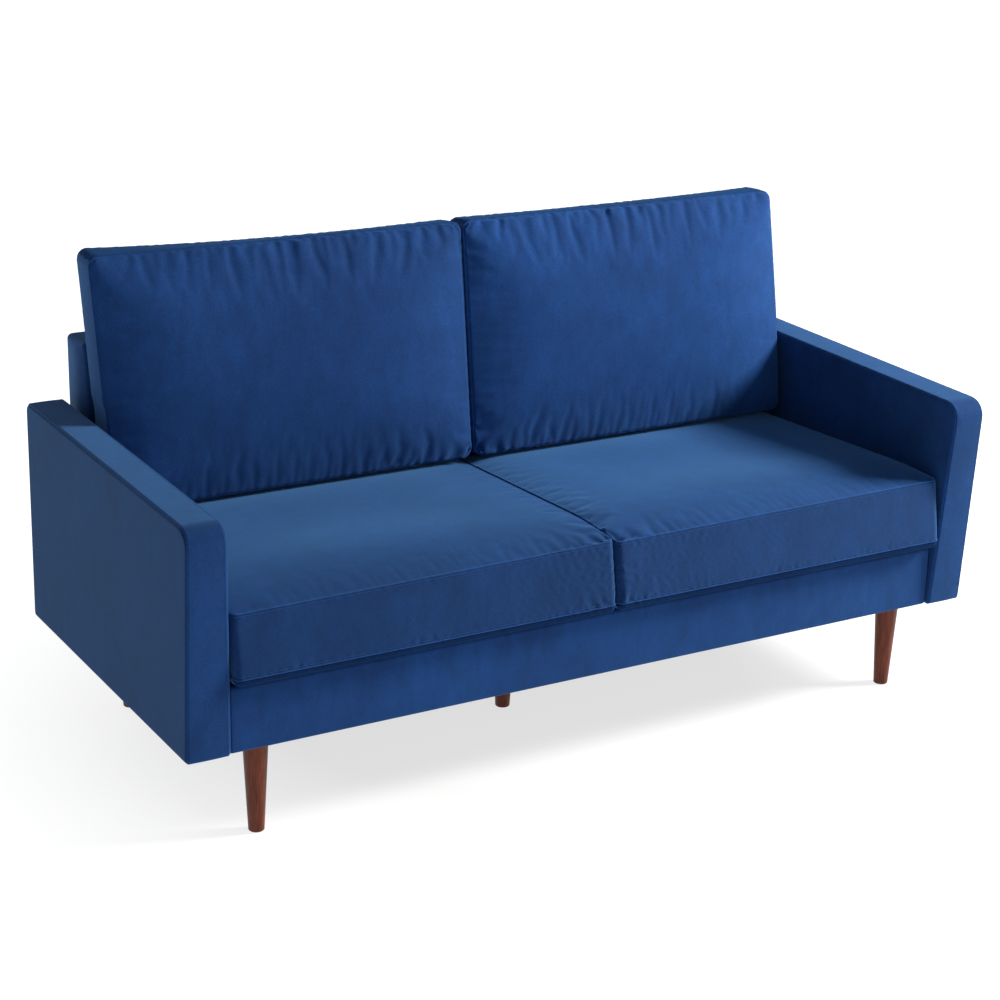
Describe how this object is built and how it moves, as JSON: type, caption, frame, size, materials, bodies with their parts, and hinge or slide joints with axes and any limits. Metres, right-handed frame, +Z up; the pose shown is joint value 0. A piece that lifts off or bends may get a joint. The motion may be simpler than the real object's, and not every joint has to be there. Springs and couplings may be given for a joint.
{
  "type": "sofa",
  "caption": "Velvet sofa with loose boxed seat and back cushions, slim straight arms and round tapered wooden legs.",
  "frame": {"origin": "centre of the sofa's footprint, on the floor under the legs", "axes": "+X to the right of someone facing the sofa, -Y to the front, +Z up"},
  "size_m": [1.77, 0.8153, 0.9546],
  "materials": {
    "velvet": "matte",
    "leg_walnut": "satin",
    "frame_pine": "matte",
    "hardboard": "matte",
    "spring_steel": "satin",
    "zinc_steel": "satin",
    "zip_metal": "satin",
    "zip_tape": "matte",
    "lining_cloth": "matte",
    "felt": "matte",
    "glide_nylon": "matte",
    "foam": "matte"
  },
  "bodies": {
    "root": {"front_rail": "frame_pine", "rear_rail": "frame_pine", "side_rail_left": "frame_pine", "side_rail_right": "frame_pine", "centre_rail": "frame_pine", "corner_blocks": "frame_pine", "seat_springs": "spring_steel", "spring_clips": "spring_steel", "deck_pad": "felt", "deck_cloth": "lining_cloth", "dust_cover": "lining_cloth", "front_rail_foam": "foam", "front_rail_cover": "velvet", "leg_front_left": "leg_walnut", "leg_front_right": "leg_walnut", "leg_rear_left": "leg_walnut", "leg_rear_right": "leg_walnut", "leg_centre": "leg_walnut", "leg_plates": "zinc_steel", "plate_screws": "zinc_steel", "hanger_bolts": "zinc_steel", "leg_glides": "glide_nylon", "back_top_rail": "frame_pine", "back_bottom_rail": "frame_pine", "back_posts": "frame_pine", "back_webbing": "lining_cloth", "back_foam": "foam", "back_cover": "velvet", "frame_bolts": "zinc_steel", "arm_left_front_post": "frame_pine", "arm_left_rear_post": "frame_pine", "arm_left_top_rail": "frame_pine", "arm_left_bottom_rail": "frame_pine", "arm_left_panels": "hardboard", "arm_left_foam": "foam", "arm_left_cover": "velvet", "arm_right_front_post": "frame_pine", "arm_right_rear_post": "frame_pine", "arm_right_top_rail": "frame_pine", "arm_right_bottom_rail": "frame_pine", "arm_right_panels": "hardboard", "arm_right_foam": "foam", "arm_right_cover": "velvet"},
    "seat_cushion_left": {"seat_cushion_left_cover": "velvet", "seat_cushion_left_foam": "foam", "seat_cushion_left_zip": "zip_tape"},
    "seat_cushion_right": {"seat_cushion_right_cover": "velvet", "seat_cushion_right_foam": "foam", "seat_cushion_right_zip": "zip_tape"},
    "back_cushion_left": {"back_cushion_left_cover": "velvet", "back_cushion_left_fill": "foam", "back_cushion_left_zip": "zip_tape"},
    "back_cushion_right": {"back_cushion_right_cover": "velvet", "back_cushion_right_fill": "foam", "back_cushion_right_zip": "zip_tape"},
    "seat_cushion_left_slider": {"seat_cushion_left_slider": "zip_metal"},
    "seat_cushion_right_slider": {"seat_cushion_right_slider": "zip_metal"},
    "back_cushion_left_slider": {"back_cushion_left_slider": "zip_metal"},
    "back_cushion_right_slider": {"back_cushion_right_slider": "zip_metal"}
  },
  "joints": [
    {"name": "seat_left_draw_out", "type": "slide", "parent": "root", "child": "seat_cushion_left", "axis": [0, -0.9995, 0.0314], "range_m": [0, 0.7]},
    {"name": "seat_right_draw_out", "type": "slide", "parent": "root", "child": "seat_cushion_right", "axis": [0, -0.9995, 0.0314], "range_m": [0, 0.7]},
    {"name": "back_left_lift_out", "type": "slide", "parent": "root", "child": "back_cushion_left", "axis": [0, 0.1392, 0.9903], "range_m": [0, 0.4]},
    {"name": "back_right_lift_out", "type": "slide", "parent": "root", "child": "back_cushion_right", "axis": [0, 0.1392, 0.9903], "range_m": [0, 0.4]},
    {"name": "seat_left_zip", "type": "slide", "parent": "seat_cushion_left", "child": "seat_cushion_left_slider", "axis": [-1, 0, 0], "range_m": [0, 0.56]},
    {"name": "seat_right_zip", "type": "slide", "parent": "seat_cushion_right", "child": "seat_cushion_right_slider", "axis": [1, 0, 0], "range_m": [0, 0.56]},
    {"name": "back_left_zip", "type": "slide", "parent": "back_cushion_left", "child": "back_cushion_left_slider", "axis": [-1, 0, 0], "range_m": [0, 0.56]},
    {"name": "back_right_zip", "type": "slide", "parent": "back_cushion_right", "child": "back_cushion_right_slider", "axis": [1, 0, 0], "range_m": [0, 0.56]}
  ]
}
